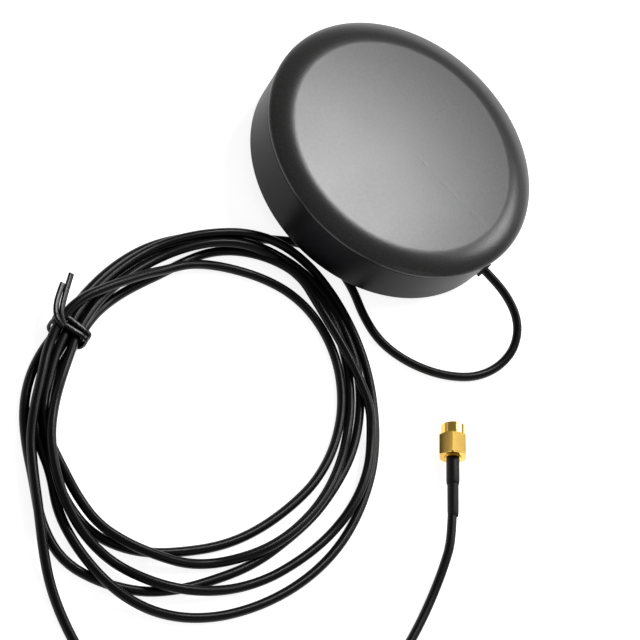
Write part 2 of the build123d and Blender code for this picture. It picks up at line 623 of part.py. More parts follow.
def coupling_nut():
    """Hexagon nut with a round front ring, threaded inside and grooved for its retaining ring."""
    corner_radius = NUT_FLATS / 2 / cos(radians(30))
    hexagon = extrude(Pos(0, 0, -NUT_LENGTH) * RegularPolygon(corner_radius, 6, rotation=30),
                      NUT_LENGTH - NUT_RING_LENGTH)
    crown = post(corner_radius, -NUT_LENGTH, -NUT_RING_LENGTH)
    hexagon &= chamfer(crown.edges(), *CROWN_CHAMFER)
    ring = post(NUT_RING_RADIUS, -NUT_RING_LENGTH - NUT_CHAMFER, 0)
    ring = chamfer(ring.edges().group_by(Axis.Z)[-1], NUT_CHAMFER / 2)
    nut = hexagon + ring
    nut -= post(THREAD_RADIUS, -THREAD_LENGTH, 0)
    nut -= post(NUT_GROOVE_RADIUS, -GROOVE_END, -GROOVE_START)
    nut -= post(SHANK_RADIUS + RUNNING_FIT, -NUT_LENGTH, 0)
    mouth = Pos(0, 0, -NUT_CHAMFER) * Cone(THREAD_RADIUS, THREAD_RADIUS + NUT_CHAMFER / 2, NUT_CHAMFER,
                                           align=(Align.CENTER, Align.CENTER, Align.MIN))
    return nut - mouth


def connector_body():
    """Outer contact, flange, shank with its ring groove, and the stem under the crimp."""
    ring_back = (GROOVE_START + GROOVE_END + RING_THICKNESS) / 2
    ring_front = ring_back - RING_THICKNESS
    return stepped(
        (REFERENCE_FACE, FLANGE_FRONT, CONTACT_INNER, CONTACT_OUTER),
        (FLANGE_FRONT, FLANGE_BACK, CONTACT_INNER, FLANGE_RADIUS),
        (FLANGE_BACK, ring_front, CONTACT_INNER, SHANK_RADIUS),
        (ring_front, ring_back, CONTACT_INNER - INSULATOR_STEP, RING_SEAT_RADIUS),
        (ring_back, INSULATOR_END, CONTACT_INNER - INSULATOR_STEP, SHANK_RADIUS),
        (INSULATOR_END, BODY_BACK, DIELECTRIC_RADIUS + CORD_FIT, SHANK_RADIUS),
        (BODY_BACK, STEM_END, DIELECTRIC_RADIUS + CORD_FIT, STEM_RADIUS))


def retaining_ring():
    """Split spring ring that keeps the nut on the body."""
    ring_back = (GROOVE_START + GROOVE_END + RING_THICKNESS) / 2
    ring = stepped((ring_back - RING_THICKNESS, ring_back, RING_SEAT_RADIUS, RING_OUTER_RADIUS))
    gap = block((0, 2 * RING_OUTER_RADIUS), (-RING_GAP / 2, RING_GAP / 2),
                (-ring_back, RING_THICKNESS - ring_back))
    return ring - Rot(0, 0, RING_GAP_TURN) * gap


def nut_seal():
    """Soft ring in front of the body's flange, squeezed when the plug is screwed home."""
    return stepped((FLANGE_FRONT - SEAL_RING_LENGTH, FLANGE_FRONT, CONTACT_OUTER, FLANGE_RADIUS))


def contact_insulator():
    """White insulator that centres the pin, with a smaller rear end."""
    ring_front = (GROOVE_START + GROOVE_END - RING_THICKNESS) / 2
    return stepped((REFERENCE_FACE, ring_front, PIN_RADIUS, CONTACT_INNER),
                   (ring_front, INSULATOR_END, PIN_RADIUS, CONTACT_INNER - INSULATOR_STEP))


def contact_pin():
    """Centre pin with a tapered tip, soldered to the centre conductor at its rear end."""
    pin = post(PIN_RADIUS, -INSULATOR_END, -PIN_TIP)
    return chamfer(pin.edges().group_by(Axis.Z)[-1], *PIN_TAPER)


def plug_dielectric():
    """Stripped end of the lead inside the stem: dielectric up to the pin, conductor hidden in it."""
    return stepped((INSULATOR_END, STEM_END, 0, DIELECTRIC_RADIUS))


def plug_braid():
    """Braid folded over the stem and held by the ferrule."""
    return stepped((BODY_BACK + FIT, STEM_END, STEM_RADIUS, FERRULE_INNER))


def crimp_ferrule():
    """Thin tube crimped over the braid and the end of the jacket."""
    return stepped((BODY_BACK + FIT, FERRULE_END, FERRULE_INNER, FERRULE_OUTER))


def shrink_sleeve_outer():
    """Short heat-shrink sleeve over the ferrule."""
    return stepped((BODY_BACK + FIT, SLEEVE_OUTER_END, FERRULE_OUTER, FERRULE_OUTER + SLEEVE_WALL))


def shrink_sleeve_inner():
    """Longer, slimmer sleeve from the ferrule on along the lead."""
    return stepped((FERRULE_END, SLEEVE_INNER_END, CORD_RADIUS + CORD_FIT, FERRULE_OUTER))


def on_plug(part):
    """Set a part that is drawn with its mouth at Z = 0 on the plug's axis."""
    return plug_plane() * part


def write(name, shape):
    """One STEP file for a node, whose solids stay separate."""
    solids = [solid for item in (shape if isinstance(shape, list) else [shape]) for solid in item.solids()]
    whole = solids[0] if len(solids) == 1 else Compound(children=solids)
    export_step(whole, f"parts/{name}.step")


def main():
    os.makedirs("parts", exist_ok=True)
    shell = base_housing()
    tail = TAIL_ROUTE + [plug_point(PLUG_LEAD_IN), plug_point(STEM_END)]
    nodes = {
        "radome_cover": radome_cover(),
        "base_housing": shell,
        "cover_seal": cover_seal(),
        "housing_screws": housing_screws(),
        "magnet_plate": magnet_plate(),
        "mounting_magnet": mounting_magnet(),
        "foot_pad": foot_pad(),
        "antenna_board": antenna_board(),
        "radiator_foil": radiator_foil(),
        "board_screws": board_screws(),
        "solder_joints": solder_joints(),
        "cable_grommet": cable_grommet(shell),
        "cable_clamp": cable_clamp(),
        "clamp_screws": clamp_screws(),
        "inner_lead": rod(CORD_RADIUS, JACKET_END_X, PUCK_RADIUS),
        "lead_braid": rod(BRAID_RADIUS, BRAID_END_X, JACKET_END_X),
        "lead_dielectric": rod(DIELECTRIC_RADIUS, DIELECTRIC_END_X, BRAID_END_X),
        "lead_conductor": lead_conductor(),
        "lead_loop": free_lead("lead_loop", LOOP_ROUTE),
        "lead_coil": lead_coil(),
        "lead_tail": free_lead("lead_tail", tail),
        "coil_tie": coil_tie(),
        "coupling_nut": on_plug(coupling_nut()),
        "connector_body": on_plug(connector_body()),
        "retaining_ring": on_plug(retaining_ring()),
        "nut_seal": on_plug(nut_seal()),
        "contact_insulator": on_plug(contact_insulator()),
        "contact_pin": on_plug(contact_pin()),
        "plug_dielectric": on_plug(plug_dielectric()),
        "plug_braid": on_plug(plug_braid()),
        "crimp_ferrule": on_plug(crimp_ferrule()),
        "shrink_sleeve_outer": on_plug(shrink_sleeve_outer()),
        "shrink_sleeve_inner": on_plug(shrink_sleeve_inner()),
    }
    for name, shape in nodes.items():
        write(name, shape)
    print(len(nodes), "nodes written")


main()
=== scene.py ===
# %% [markdown]
# # A puck antenna with its coiled lead
#
# The object is a low round antenna for a vehicle roof. A black moulded housing stands on a
# magnetic foot, a thin coaxial lead leaves the side wall, makes one loose loop, runs under the rim
# into a tied coil, and ends in a gold-plated screw plug.
#
# The solid parts already exist as a fixed frame, in metres, with Z up and the housing's axis at the
# origin. This lesson gives them their surfaces, winds the lead as one curve, and models the soft and
# thin pieces that a solid can only hint at.

# %% Load the frame
import json
from math import cos, degrees, hypot, radians, sin, sqrt

import bpy
from mathutils import Matrix, Vector


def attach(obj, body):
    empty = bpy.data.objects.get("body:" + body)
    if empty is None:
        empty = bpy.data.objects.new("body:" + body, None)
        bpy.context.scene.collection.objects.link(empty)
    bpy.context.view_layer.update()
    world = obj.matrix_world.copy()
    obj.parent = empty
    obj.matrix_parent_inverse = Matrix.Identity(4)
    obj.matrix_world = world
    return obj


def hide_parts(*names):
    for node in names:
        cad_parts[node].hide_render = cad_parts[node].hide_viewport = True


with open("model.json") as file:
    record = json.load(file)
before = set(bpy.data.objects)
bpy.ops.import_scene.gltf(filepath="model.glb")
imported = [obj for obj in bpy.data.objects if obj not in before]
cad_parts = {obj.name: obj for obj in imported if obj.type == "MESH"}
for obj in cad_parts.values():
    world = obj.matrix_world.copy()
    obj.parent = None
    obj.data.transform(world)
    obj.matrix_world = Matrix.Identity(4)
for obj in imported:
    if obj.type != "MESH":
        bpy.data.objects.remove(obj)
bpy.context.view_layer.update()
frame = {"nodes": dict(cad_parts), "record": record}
MM = 0.001

# %% [markdown]
# ## The camera
#
# The picture looks down at the housing from about 48 degrees above the floor, and the camera was
# held turned, so that the floor's level lines run across the picture at a slant. A camera can be
# moved by eye until the view fits, but then its angles are never known. Here they were worked out
# from the housing's two round rims, so the camera is placed by its angles and its distance. Then it
# is turned a little more, so that a point on the housing's axis, 4.5 mm above the floor, falls on
# its place in the picture, which is a square of 640 pixels.

# %% Place the camera
VIEW_AZIMUTH = radians(4.5)
VIEW_ELEVATION = radians(47.8)
VIEW_ROLL = radians(-42.66)
VIEW_DISTANCE = 644 * MM
PICTURE_SIZE = 640
FOCAL_PIXELS = 2009
SENSOR = 36.0
TARGET = Vector((0, 0, 4.5 * MM))
TARGET_PIXEL = (377.2, 174.2)


def camera_axes(azimuth, elevation, roll):
    """Rows: the camera's right, up and backward directions."""
    ahead = Vector((-sin(azimuth), cos(azimuth), 0))
    level = Vector((cos(azimuth), sin(azimuth), 0))
    back = -ahead * cos(elevation) + Vector((0, 0, sin(elevation)))
    rise = ahead * sin(elevation) + Vector((0, 0, cos(elevation)))
    right = cos(roll) * level - sin(roll) * rise
    up = sin(roll) * level + cos(roll) * rise
    return Matrix((right, up, back))


axes = camera_axes(VIEW_AZIMUTH, VIEW_ELEVATION, VIEW_ROLL)
half = PICTURE_SIZE / 2
target_right = (TARGET_PIXEL[0] - half) / FOCAL_PIXELS
target_up = (half - TARGET_PIXEL[1]) / FOCAL_PIXELS
toward_target = Vector((target_right, target_up, -1))
aim = Vector((0, 0, -1)).rotation_difference(toward_target.normalized()).to_matrix()
camera_data = bpy.data.cameras.new("camera")
camera_data.sensor_width = SENSOR
camera_data.lens = SENSOR * FOCAL_PIXELS / PICTURE_SIZE
camera = bpy.data.objects.new("camera", camera_data)
bpy.context.scene.collection.objects.link(camera)
turn = (aim @ axes).transposed().to_4x4()
camera.matrix_world = Matrix.Translation(TARGET + axes[2] * VIEW_DISTANCE) @ turn
bpy.context.scene.camera = camera
bpy.context.scene.view_settings.view_transform = "Standard"
print("camera at", [round(value, 3) for value in camera.location], "lens", round(camera_data.lens, 1))

# %% [markdown]
# ## Helpers for modelling by hand
#
# Edit-mode operators act on everything that is selected, and the frame arrives selected, so each
# piece starts from a clean selection. Two more helpers finish a mesh and join several into one.

# %% Select, finish and join
SMOOTH_ANGLE = radians(35)
SAME_SPOT = 1e-6


def deselect():
    """Leave edit mode and select nothing."""
    if bpy.context.object and bpy.context.object.mode != "OBJECT":
        bpy.ops.object.mode_set(mode="OBJECT")
    bpy.ops.object.select_all(action="DESELECT")


def tidy_mesh(piece):
    """Merge doubles, turn the faces outwards and shade the round stretches smooth."""
    deselect()
    piece.select_set(True)
    bpy.context.view_layer.objects.active = piece
    bpy.ops.object.mode_set(mode="EDIT")
    bpy.ops.mesh.select_all(action="SELECT")
    bpy.ops.mesh.remove_doubles(threshold=SAME_SPOT)
    bpy.ops.mesh.normals_make_consistent(inside=False)
    bpy.ops.object.mode_set(mode="OBJECT")
    bpy.ops.object.shade_smooth_by_angle(angle=SMOOTH_ANGLE)
    return piece


def joined(pieces, name):
    """Join several meshes into one piece."""
    deselect()
    for piece in pieces:
        piece.select_set(True)
    bpy.context.view_layer.objects.active = pieces[0]
    bpy.ops.object.join()
    whole = bpy.context.object
    whole.name = name
    return whole


print("edges stay sharp past", round(degrees(SMOOTH_ANGLE)), "degrees")

# %% [markdown]
# ## A lathe in a loop
#
# A turned ring could be made with Blender's spin or screw tools from a drawn profile. Here it
# starts as a circle, which is extruded and scaled from one point of the profile to the next, as a
# turner works along a piece. It needs no drawn curve, and each step is one the reader can do by hand.


# %% A turned ring
def turned_piece(name, profile, place, sides):
    """Turned ring from a closed profile of (radius, height) in millimetres, set at a place."""
    deselect()
    first_radius, first_height = profile[0]
    bpy.ops.mesh.primitive_circle_add(vertices=sides, radius=first_radius * MM,
                                      location=(0, 0, first_height * MM))
    piece = bpy.context.object
    piece.name = name
    bpy.ops.object.transform_apply(location=True)
    bpy.ops.object.mode_set(mode="EDIT")
    bpy.ops.mesh.select_all(action="SELECT")
    radius, height = first_radius, first_height
    for next_radius, next_height in profile[1:] + profile[:1]:
        bpy.ops.mesh.extrude_region_move(
            TRANSFORM_OT_translate={"value": (0, 0, (next_height - height) * MM)})
        scale = next_radius / radius
        bpy.ops.transform.resize(value=(scale, scale, 1), center_override=(0, 0, next_height * MM))
        radius, height = next_radius, next_height
    bpy.ops.object.mode_set(mode="OBJECT")
    tidy_mesh(piece)
    piece.data.transform(place)
    piece.data.update()
    print(name, "faces", len(piece.data.polygons))
    return piece


# %% [markdown]
# ## The lead
#
# A coaxial lead is one piece of cable 2.8 mm thick that leaves the wall through a rubber bush and
# ends in the plug. It could be a circle swept along a path, or a chain of cylinders. One NURBS curve
# with a round bevel is better: it bends smoothly through few points, and its length can be measured.
#
# The free stretches follow points that were chosen from the picture, in millimetres. The
# last two lie on the plug's axis, so that the cable runs straight into the plug.

# %% The free stretches of the lead
CORD_RADIUS = 1.4
CORD_DIAMETER = 2 * CORD_RADIUS
WALL_EXIT = (46.0, 0.0, 9.5)
LOOP_ROUTE = [
    WALL_EXIT,
    (51.4, 0.0, 9.5),
    (57.5, 0.2, 7.8),
    (63.5, -1.4, 5.3),
    (68.0, -5.4, 3.2),
    (70.7, -11.7, 1.8),
    (70.4, -19.5, 1.4),
    (67.5, -26.8, 1.4),
    (62.5, -33.2, 1.4),
    (55.8, -38.7, 1.4),
    (47.5, -42.8, 1.4),
    (38.5, -44.4, 1.4),
    (29.6, -42.0, 1.4),
    (21.6, -37.6, 1.4),
    (13.0, -35.6, 1.4),
    (5.0, -36.9, 1.4),
    (-1.4, -41.2, 1.4),
    (-6.4, -47.0, 1.4),
    (-11.2, -52.9, 1.4),
    (-15.0, -58.6, 1.4),
]
TAIL_ROUTE = [
    (-24.4, -134.5, 1.4),
    (-19.5, -142.1, 1.4),
    (-14.5, -150.1, 1.4),
    (-8.6, -157.6, 1.4),
    (-1.0, -164.2, 1.4),
    (8.2, -171.4, 1.4),
    (18.1, -179.0, 1.4),
    (27.2, -184.2, 1.4),
    (39.0, -188.9, 1.4),
    (55.0, -192.6, 1.4),
    (71.6, -192.4, 1.4),
    (87.0, -185.6, 1.4),
    (98.6, -173.4, 1.4),
    (105.6, -158.0, 1.4),
    (108.4, -141.4, 1.4),
    (108.2, -125.0, 1.4),
    (106.0, -110.0, 1.4),
    (103.1, -98.0, 1.7),
    (99.3, -87.0, 2.9),
]
PLUG_MOUTH = (72.8, -48.8)
PLUG_HEADING = radians(127.9)
PLUG_HEIGHT = 4.0
PLUG_LEAD_IN = 36.0
PLUG_STEM_END = 15.0


def plug_point(distance):
    """Point on the plug's axis, in millimetres back from its mouth."""
    return (PLUG_MOUTH[0] - distance * cos(PLUG_HEADING), PLUG_MOUTH[1] - distance * sin(PLUG_HEADING),
            PLUG_HEIGHT)


plug_end = [plug_point(PLUG_LEAD_IN), plug_point(PLUG_STEM_END)]
print("free points", len(LOOP_ROUTE) + len(TAIL_ROUTE) + len(plug_end))

# %% [markdown]
# ## The coil
#
# The cable goes five and a bit times round, so six strands lie side by side at the tie. Loose turns
# fan out where nothing ties them. Points for each turn could be picked one by one, but the turns are
# all much like one oval. So a loop works them out from that oval, and from a short list of how far
# inside it each strand lies at a few places round the coil.

# %% The turns of the coil
COIL_CENTRE = (19.3, -107.2)
COIL_AXES = (50.4, 65.6)
COIL_TILT = radians(17.2)
FULL_TURN = 360
COIL_START = 132
COIL_END = 5 * FULL_TURN + 209
CUT_IN = 0.25   # how far the finished curve runs inside its own points
POINTS_PER_TURN = 36
PASSES = 6
# Each row is an angle round the coil in degrees, then how far inside the oval each pass runs there.
LANES = [
    (120, (3.0, 5.3, 3.6, 7.6, 7.7, 15.2)),
    (128, (3.5, 6.1, 4.5, 7.9, 8.6, 14.4)),
    (135, (3.9, 6.7, 5.2, 8.1, 9.7, 13.8)),
    (142, (3.2, 6.2, 4.7, 8.0, 11.2, 13.2)),
    (150, (2.6, 5.6, 4.2, 7.8, 12.2, 12.6)),
    (165, (2.1, 5.4, 4.0, 7.4, 10.8, 9.6)),
    (177, (2.0, 5.0, 3.6, 6.5, 8.8, 7.0)),
    (189, (1.7, 4.5, 3.1, 6.0, 7.5, 2.4)),
    (195, (1.5, 4.35, 3.05, 5.9, 7.3, 0.3)),
    (201, (1.3, 4.2, 3.0, 5.8, 7.2, -0.4)),
    (206, (0.3, 3.9, 2.8, 6.0, 6.8, -0.3)),
    (212, (-0.9, 3.3, 2.6, 6.4, 6.2, -0.3)),
    (222, (-2.2, 1.3, 2.9, 6.1, 4.8)),
    (234, (-2.4, 0.8, 2.5, 4.6, 3.9)),
    (241, (-1.6, 1.3, 3.6, 3.7, 4.2)),
    (248, (-0.6, 2.4, 6.2, 3.9, 5.0)),
    (253, (-0.9, 4.2, 7.6, 3.9, 5.8)),
    (262, (-3.1, 2.8, 9.8, 4.3, 6.7)),
    (272, (-3.7, 1.8, 10.8, 5.3, 8.5)),
    (279, (-1.1, 0.5, 12.2, 6.6, 11.5)),
    (283, (0.6, -0.3, 13.6, 7.0, 12.8)),
    (290, (3.2, -0.7, 14.6, 6.8, 15.5)),
    (296, (5.4, -0.7, 15.2, 6.7, 18.6)),
    (302, (7.7, -0.5, 15.3, 6.8, 19.4)),
    (310, (10.2, -0.5, 15.4, 6.6, 20.1)),
    (318, (11.0, -0.4, 14.6, 6.5, 20.0)),
    (325, (11.1, -0.5, 13.6, 5.9, 19.6)),
    (334, (11.1, -0.9, 12.5, 4.9, 18.9)),
    (345, (10.9, -1.5, 11.5, 4.0, 17.7)),
    (358, (9.5, -2.1, 10.5, 2.2, 16.1)),
    (364, (8.9, -2.1, 10.1, 1.6, 15.2)),
    (375, (8.0, -2.0, 9.6, 0.6, 13.7)),
    (385, (7.0, -1.7, 9.4, 0.4, 12.8)),
    (395, (5.9, -1.4, 9.0, 0.7, 12.0)),
    (412, (5.0, 0.2, 8.4, 2.8, 11.3)),
    (428, (4.3, 1.3, 8.0, 7.8, 11.2)),
    (438, (4.8, 1.9, 7.7, 9.8, 11.7)),
    (445, (4.9, 2.1, 7.7, 11.1, 12.2)),
    (458, (4.3, 1.2, 7.0, 9.6, 13.2)),
    (468, (4.0, 1.3, 7.1, 8.4, 14.9)),
]


def oval_radius(angle):
    """Distance from the coil's centre to its outline at an angle in radians."""
    across = cos(angle - COIL_TILT) / COIL_AXES[0]
    along = sin(angle - COIL_TILT) / COIL_AXES[1]
    return 1 / hypot(across, along)


def lane(angle, stations):
    """Inset at an angle in degrees, read between the two nearest stations."""
    for (low, before), (high, after) in zip(stations, stations[1:]):
        if angle <= high:
            share = max(0.0, (angle - low) / (high - low))
            return before + (after - before) * share
    return stations[-1][1]


def coil_points():
    """Points of all the turns on the floor, from the loop's end to the tail's start."""
    stations = [(angle + FULL_TURN * turn, insets[turn]) for turn in range(PASSES)
                for angle, insets in LANES if turn < len(insets)]
    points = []
    for step in range(int((COIL_END - COIL_START) * POINTS_PER_TURN / FULL_TURN) + 1):
        angle = COIL_START + step * FULL_TURN / POINTS_PER_TURN
        radius = oval_radius(radians(angle)) + CUT_IN - lane(angle, stations)
        points.append((COIL_CENTRE[0] + radius * cos(radians(angle)),
                       COIL_CENTRE[1] + radius * sin(radians(angle)), CORD_RADIUS))
    return points


turns = coil_points()
print("coil points", len(turns))

# %% [markdown]
# ## Let every strand rest on what lies below it
#
# Where strands cross, the upper one rests on the lower one. A simulation could drop the cable on
# the floor, but it would also shift the strands away from their places in the picture. So their
# places in plan stay, and only their heights are worked out.
#
# The strands are visited layer by layer, from the lowest. Each point is lifted until the cable
# clears the strands of the layers below, and its neighbours are lifted with it, which makes a long
# low hump. At the tie the whole bundle is held up by the thickness of the tie.

# %% Heights over a lower strand
NEARBY = 40   # runs that start further off than this, in millimetres, aren't tested
STEEPEST = 0.22


def nearest_on_run(spot, start, end):
    """Distance in plan from a spot to a run, and the run's height there."""
    across, along = end[0] - start[0], end[1] - start[1]
    share = ((spot[0] - start[0]) * across + (spot[1] - start[1]) * along) / (across ** 2 + along ** 2)
    share = min(1.0, max(0.0, share))
    gap = hypot(spot[0] - start[0] - share * across, spot[1] - start[1] - share * along)
    return gap, start[2] + share * (end[2] - start[2])


def height_needed(spot, runs):
    """Lowest height at which the cable's centre clears all the given runs near a spot."""
    needed = 0.0
    for start, end in runs:
        if abs(start[0] - spot[0]) + abs(start[1] - spot[1]) > NEARBY:
            continue
        gap, height = nearest_on_run(spot, start, end)
        if gap < CORD_DIAMETER:
            needed = max(needed, height + sqrt(CORD_DIAMETER ** 2 - gap ** 2))
    return needed


def eased(laid, lengths):
    """Lift the neighbours of each high point, so that no stretch is steeper than it may be."""
    for order in (range(1, len(laid) - 1), range(len(laid) - 2, 0, -1)):
        for index in order:
            neighbour = index - order.step
            run = abs(lengths[index] - lengths[neighbour])
            laid[index][2] = max(laid[index][2], laid[neighbour][2] - STEEPEST * run)


print("steepest slope", STEEPEST)

# %% Rest the strands
TIE_ANGLE = 201
TIE_INSET = 5.2
TIE_LIFT = 1.2
TIE_REACH = 8
OWN_STRETCH = 34.0   # a point isn't tested against the cable's own run this close along it
PASS_CHANGE = 110    # the angle at which one pass ends and the next begins
# The layer of each pass. The fifth lies under the others, and the rest lie in their own order.
PASS_LAYERS = (1, 2, 3, 4, 0, 5)
LOOP_LAYER = -1
TAIL_LAYER = 6
tie_radius = oval_radius(radians(TIE_ANGLE)) - TIE_INSET
TIE_SPOT = (COIL_CENTRE[0] + tie_radius * cos(radians(TIE_ANGLE)),
            COIL_CENTRE[1] + tie_radius * sin(radians(TIE_ANGLE)))


def coil_layer(step):
    """Layer of the pass that a point of the coil belongs to."""
    angle = COIL_START + step * FULL_TURN / POINTS_PER_TURN
    number = int((angle - PASS_CHANGE) // FULL_TURN)
    return PASS_LAYERS[min(PASSES - 1, number)]


def rested(route, first, layers):
    """Lift each point, from a first one on, until it clears the strands of all lower layers."""
    laid = [list(point) for point in route]
    lengths = [0.0]
    for start, end in zip(route, route[1:]):
        lengths.append(lengths[-1] + hypot(end[0] - start[0], end[1] - start[1]))
    for point in laid:
        if hypot(point[0] - TIE_SPOT[0], point[1] - TIE_SPOT[1]) < TIE_REACH:
            point[2] = max(point[2], CORD_RADIUS + TIE_LIFT)
    for layer in sorted(set(layers)):
        numbers = [index for index in range(first, len(laid) - 1) if layers[index] == layer]
        for index in numbers:
            below = [other for other in range(len(laid) - 1) if layers[other] < layer
                     and abs(lengths[other] - lengths[index]) > OWN_STRETCH]
            runs = [(laid[other], laid[other + 1]) for other in below]
            point, before, after = laid[index], laid[index - 1], laid[index + 1]
            spots = [point, [(point[0] + before[0]) / 2, (point[1] + before[1]) / 2],
                     [(point[0] + after[0]) / 2, (point[1] + after[1]) / 2]]
            point[2] = max([point[2]] + [height_needed(spot, runs) for spot in spots])
        eased(laid, lengths)
    return [tuple(point) for point in laid]


whole_route = LOOP_ROUTE + turns + TAIL_ROUTE + plug_end
layers = [LOOP_LAYER] * len(LOOP_ROUTE)
layers += [coil_layer(step) for step in range(len(turns))]
layers += [TAIL_LAYER] * (len(TAIL_ROUTE) + len(plug_end))
first_lifted = len(LOOP_ROUTE) - 2   # the loop's last two points may rise too
route = rested(whole_route, first_lifted, layers)
coil_route = route[len(LOOP_ROUTE):len(LOOP_ROUTE) + len(turns)]
print("points", len(route), "highest in the coil", round(max(point[2] for point in coil_route), 2))

# %% [markdown]
# ## One curve for the whole lead
#
# All the points become the control points of one NURBS curve of order 3. A curve's thickness is its
# bevel depth times each point's radius. Most often the depth is the thickness, and every radius is
# left at one. But Blender also uses the radius alone for the box round a curve, which would then be
# a metre too wide on each side. So here the depth is 1 m and each point's radius is the cable's own.

# %% The lead as one curve
FULL_DEPTH = 1.0   # metres, times each point's radius
LEAD_STEPS = 5
LEAD_ROUND_STEPS = 5
CURVE_ORDER = 3

lead_curve = bpy.data.curves.new("lead", "CURVE")
lead_curve.dimensions = "3D"
lead_curve.resolution_u = LEAD_STEPS
lead_curve.bevel_depth = FULL_DEPTH
lead_curve.bevel_resolution = LEAD_ROUND_STEPS
spline = lead_curve.splines.new("NURBS")
spline.points.add(len(route) - 1)
for point, place in zip(spline.points, route):
    point.co = (place[0] * MM, place[1] * MM, place[2] * MM, 1)
    point.radius = CORD_RADIUS * MM
spline.order_u = CURVE_ORDER
spline.use_endpoint_u = True
lead = bpy.data.objects.new("lead", lead_curve)
bpy.context.scene.collection.objects.link(lead)
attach(lead, "root")
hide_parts("lead_loop", "lead_coil", "lead_tail")
print("lead of", len(spline.points), "control points")


# %% The lead's centreline
def curve_line(curve_object):
    """The points that a curve's centreline passes, read from the curve without its thickness."""
    bare = curve_object.data.copy()
    bare.bevel_depth = 0
    holder = bpy.data.objects.new("line", bare)
    mesh = bpy.data.meshes.new_from_object(holder)
    line = [vertex.co.copy() for vertex in mesh.vertices]
    bpy.data.objects.remove(holder)
    bpy.data.meshes.remove(mesh)
    return line


lead_line = curve_line(lead)

# %% [markdown]
# ## The wire tie
#
# A plastic-coated wire strip goes twice round the strands. Both wraps lie close together on the
# inner side of the coil and part a little on the outer side, where the two ends stand off. It could
# be a flat mesh that is bent and twisted, but a strip that keeps its section all along is a curve
# with a flattened round bevel. Each wrap is a closed curve and each end an open one.
#
# They are drawn in axes of their own, where they are easy to think about: X across the strands
# towards the middle of the coil, Y up and Z along the strands. Then they become meshes, are joined
# into one piece, and its mesh is moved to its place on the coil.

# %% The tie's own measures
TIE_CENTRE = (-24.5, -124.0)
TIE_HEADING = radians(-75.8)
STRIP_HALF_WIDTH = 0.35
STRIP_ROUND = 0.5
STRIP_STEPS = 6
STRIP_ROUND_STEPS = 3
WRAP_MIDDLE = 0.7      # along the strands
WRAP_HALF_GAP = 0.8    # from the middle to each wrap, at the inner edge of the coil
WRAP_EDGE = 6.0        # that inner edge
WRAP_SPREAD = 0.06     # how much the half gap grows for each millimetre outwards
WRAP_OUTLINE = [(-4.2, 0.6), (0.0, 0.55), (4.2, 0.6), (5.3, 1.5), (5.7, 3.6), (5.6, 6.0), (4.8, 7.1),
                (0.6, 7.3), (-4.2, 7.2), (-5.5, 6.3), (-5.7, 3.8), (-5.3, 1.7)]
LONG_END = [(-2.4, 7.5, 2.0), (-4.2, 7.9, 0.8), (-5.6, 8.1, -2.0), (-7.2, 8.0, -7.6), (-8.5, 7.8, -13.0)]
SHORT_END = [(-2.2, 7.5, 3.0), (-4.8, 8.0, 2.4), (-6.9, 8.1, -0.4), (-8.3, 8.0, -4.8), (-9.0, 7.9, -8.6)]
print("points round a wrap", len(WRAP_OUTLINE), "along the ends", len(LONG_END) + len(SHORT_END))


# %% Wire tie
def tie_place():
    """From the tie's own axes to the frame: X across the strands, Y up, Z along them."""
    across = (-sin(TIE_HEADING), cos(TIE_HEADING), 0)
    lengthwise = (cos(TIE_HEADING), sin(TIE_HEADING), 0)
    turned = Matrix((across, (0, 0, 1), lengthwise)).transposed().to_4x4()
    return Matrix.Translation(Vector((TIE_CENTRE[0] * MM, TIE_CENTRE[1] * MM, 0))) @ turned


def strip_piece(name, points, closed):
    """Flattened round strip along points in millimetres, made a mesh."""
    curve = bpy.data.curves.new(name, "CURVE")
    curve.dimensions = "3D"
    curve.resolution_u = STRIP_STEPS
    curve.extrude = STRIP_HALF_WIDTH * MM
    curve.bevel_depth = STRIP_ROUND * MM
    curve.bevel_resolution = STRIP_ROUND_STEPS
    curve.use_fill_caps = True
    spline = curve.splines.new("NURBS")
    spline.points.add(len(points) - 1)
    for point, place in zip(spline.points, points):
        point.co = (place[0] * MM, place[1] * MM, place[2] * MM, 1)
    spline.order_u = CURVE_ORDER
    spline.use_cyclic_u = closed
    spline.use_endpoint_u = not closed
    piece = bpy.data.objects.new(name, curve)
    bpy.context.scene.collection.objects.link(piece)
    deselect()
    piece.select_set(True)
    bpy.context.view_layer.objects.active = piece
    bpy.ops.object.convert(target="MESH")
    return bpy.context.object


def wrap_points(side):
    """One wrap: near its twin where X is positive, further from it where X is negative."""
    return [(x, y, WRAP_MIDDLE + side * (WRAP_HALF_GAP + WRAP_SPREAD * (WRAP_EDGE - x)))
            for x, y in WRAP_OUTLINE]


strips = [strip_piece("wrap", wrap_points(side), True) for side in (-1, 1)]
strips += [strip_piece("tie_end", points, False) for points in (LONG_END, SHORT_END)]
wire_tie = tidy_mesh(joined(strips, "wire_tie"))
wire_tie.data.transform(tie_place())
wire_tie.data.update()
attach(wire_tie, "root")
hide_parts("coil_tie")
print("wire tie faces", len(wire_tie.data.polygons))

# %% [markdown]
# ## The shrink sleeves
#
# A short sleeve grips the ferrule behind the nut and a longer, slimmer one reaches on over the
# lead. A plain tube would do from far away, but shrunk tube draws in at its end, so each is turned
# from a profile that tapers there. A profile's points are radius and height in millimetres, and the
# heights are negative, because they count back from the plug's mouth.

# %% Shrink sleeves
SLEEVE_SIDES = 48
OUTER_SLEEVE = [(1.73, -11.1), (1.96, -11.1), (2.0, -11.4), (2.0, -18.4), (1.92, -19.2), (1.80, -19.6),
                (1.73, -19.6)]
INNER_SLEEVE = [(1.46, -16.8), (1.70, -16.8), (1.71, -17.2), (1.69, -28.4), (1.62, -29.4), (1.51, -29.9),
                (1.46, -29.9)]


